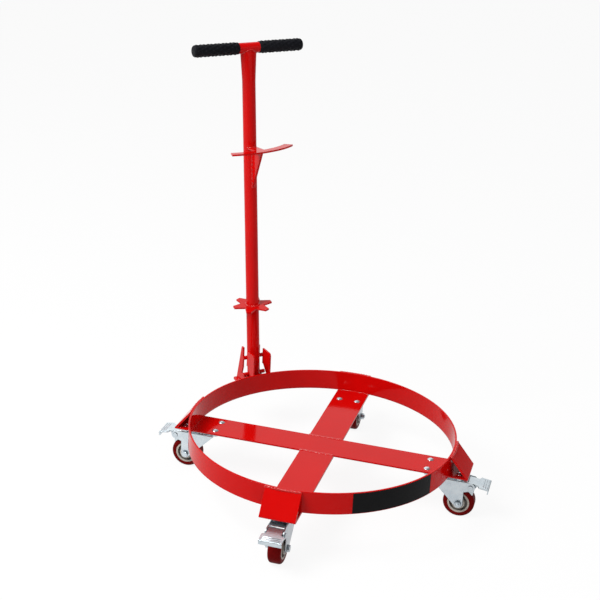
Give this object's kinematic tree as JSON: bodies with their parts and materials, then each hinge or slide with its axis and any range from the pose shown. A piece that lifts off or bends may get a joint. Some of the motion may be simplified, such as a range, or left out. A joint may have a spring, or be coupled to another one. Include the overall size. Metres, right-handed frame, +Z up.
{
  "type": "drum trolley",
  "caption": "Round drum trolley: a flat-strip hoop on crossed flat bars with braked swivel casters, and a tilting lift-out T-handle with a drum rest and bung wrench plate.",
  "frame": {"origin": "on the floor, on the hoop's axis", "axes": "+Z up along the hoop's axis, +X along the long cross bar, the mast stands at 135 degrees from +X towards +Y"},
  "size_m": [0.8044, 0.792, 0.9779],
  "materials": {
    "red_paint": "glossy powder coat",
    "zinc_steel": "bright zinc plate",
    "bearing_steel": "polished",
    "polyurethane": "satin dark red",
    "core_nylon": "satin",
    "grip_rubber": "matte, bumpy",
    "label_black": "satin film"
  },
  "bodies": {
    "base": {"hoop": "red_paint", "long_cross_bar": "red_paint", "front_half_bar": "red_paint", "rear_half_bar": "red_paint", "left_bracket_plate": "red_paint", "right_bracket_plate": "red_paint", "bracket_foot": "red_paint", "base_weld_beads": "red_paint", "hoop_label": "label_black", "plate_bolts": "zinc_steel", "plate_nuts": "zinc_steel", "king_pins": "zinc_steel", "right_caster_plate": "zinc_steel", "rear_caster_plate": "zinc_steel", "left_caster_plate": "zinc_steel", "front_caster_plate": "zinc_steel"},
    "handle_slider": {"upper_pin": "red_paint"},
    "handle": {"mast_tube": "red_paint", "lower_pin": "red_paint", "t_bar": "red_paint", "drum_rest": "red_paint", "rest_gusset": "red_paint", "bung_star": "red_paint", "handle_weld_beads": "red_paint", "left_grip": "grip_rubber", "right_grip": "grip_rubber"},
    "right_swivel": {"right_fork": "zinc_steel", "right_axle_set": "zinc_steel", "right_ball_ring": "bearing_steel"},
    "right_wheel": {"right_tyre": "polyurethane", "right_wheel_core": "core_nylon", "right_bearings": "bearing_steel"},
    "right_brake": {"right_brake_pedal": "zinc_steel", "right_brake_shoe": "zinc_steel"},
    "rear_swivel": {"rear_fork": "zinc_steel", "rear_axle_set": "zinc_steel", "rear_ball_ring": "bearing_steel"},
    "rear_wheel": {"rear_tyre": "polyurethane", "rear_wheel_core": "core_nylon", "rear_bearings": "bearing_steel"},
    "rear_brake": {"rear_brake_pedal": "zinc_steel", "rear_brake_shoe": "zinc_steel"},
    "left_swivel": {"left_fork": "zinc_steel", "left_axle_set": "zinc_steel", "left_ball_ring": "bearing_steel"},
    "left_wheel": {"left_tyre": "polyurethane", "left_wheel_core": "core_nylon", "left_bearings": "bearing_steel"},
    "left_brake": {"left_brake_pedal": "zinc_steel", "left_brake_shoe": "zinc_steel"},
    "front_swivel": {"front_fork": "zinc_steel", "front_axle_set": "zinc_steel", "front_ball_ring": "bearing_steel"},
    "front_wheel": {"front_tyre": "polyurethane", "front_wheel_core": "core_nylon", "front_bearings": "bearing_steel"},
    "front_brake": {"front_brake_pedal": "zinc_steel", "front_brake_shoe": "zinc_steel"}
  },
  "joints": [
    {"name": "handle_lift", "type": "slide", "parent": "base", "child": "handle_slider", "axis": [0, 0, 1], "range_m": [0, 0.12]},
    {"name": "handle_tilt", "type": "hinge", "parent": "handle_slider", "child": "handle", "pos_m": [-0.25314, 0.25314, 0.191], "axis": [-0.707, -0.707, -0.0183], "range_deg": [-15.95, 31.05]},
    {"name": "right_swivel_turn", "type": "hinge", "parent": "base", "child": "right_swivel", "pos_m": [0.291, 0, 0.1], "axis": [0, 0, 1], "continuous": true},
    {"name": "right_wheel_spin", "type": "hinge", "parent": "right_swivel", "child": "right_wheel", "pos_m": [0.33, 0, 0.036], "axis": [0, 1, 0], "continuous": true},
    {"name": "right_brake_release", "type": "hinge", "parent": "right_swivel", "child": "right_brake", "pos_m": [0.355, 0, 0.082], "axis": [0, -1, 0], "range_deg": [0, 20]},
    {"name": "rear_swivel_turn", "type": "hinge", "parent": "base", "child": "rear_swivel", "pos_m": [0, 0.291, 0.1], "axis": [0, 0, 1], "continuous": true},
    {"name": "rear_wheel_spin", "type": "hinge", "parent": "rear_swivel", "child": "rear_wheel", "pos_m": [0, 0.33, 0.036], "axis": [-1, 0, 0], "continuous": true},
    {"name": "rear_brake_release", "type": "hinge", "parent": "rear_swivel", "child": "rear_brake", "pos_m": [0, 0.355, 0.082], "axis": [1, 0, 0], "range_deg": [0, 20]},
    {"name": "left_swivel_turn", "type": "hinge", "parent": "base", "child": "left_swivel", "pos_m": [-0.291, 0, 0.1], "axis": [0, 0, 1], "continuous": true},
    {"name": "left_wheel_spin", "type": "hinge", "parent": "left_swivel", "child": "left_wheel", "pos_m": [-0.33, 0, 0.036], "axis": [0, -1, 0], "continuous": true},
    {"name": "left_brake_release", "type": "hinge", "parent": "left_swivel", "child": "left_brake", "pos_m": [-0.355, 0, 0.082], "axis": [0, 1, 0], "range_deg": [0, 20]},
    {"name": "front_swivel_turn", "type": "hinge", "parent": "base", "child": "front_swivel", "pos_m": [0, -0.291, 0.1], "axis": [0, 0, 1], "continuous": true},
    {"name": "front_wheel_spin", "type": "hinge", "parent": "front_swivel", "child": "front_wheel", "pos_m": [0, -0.33, 0.036], "axis": [1, 0, 0], "continuous": true},
    {"name": "front_brake_release", "type": "hinge", "parent": "front_swivel", "child": "front_brake", "pos_m": [0, -0.355, 0.082], "axis": [-1, 0, 0], "range_deg": [0, 20]}
  ]
}
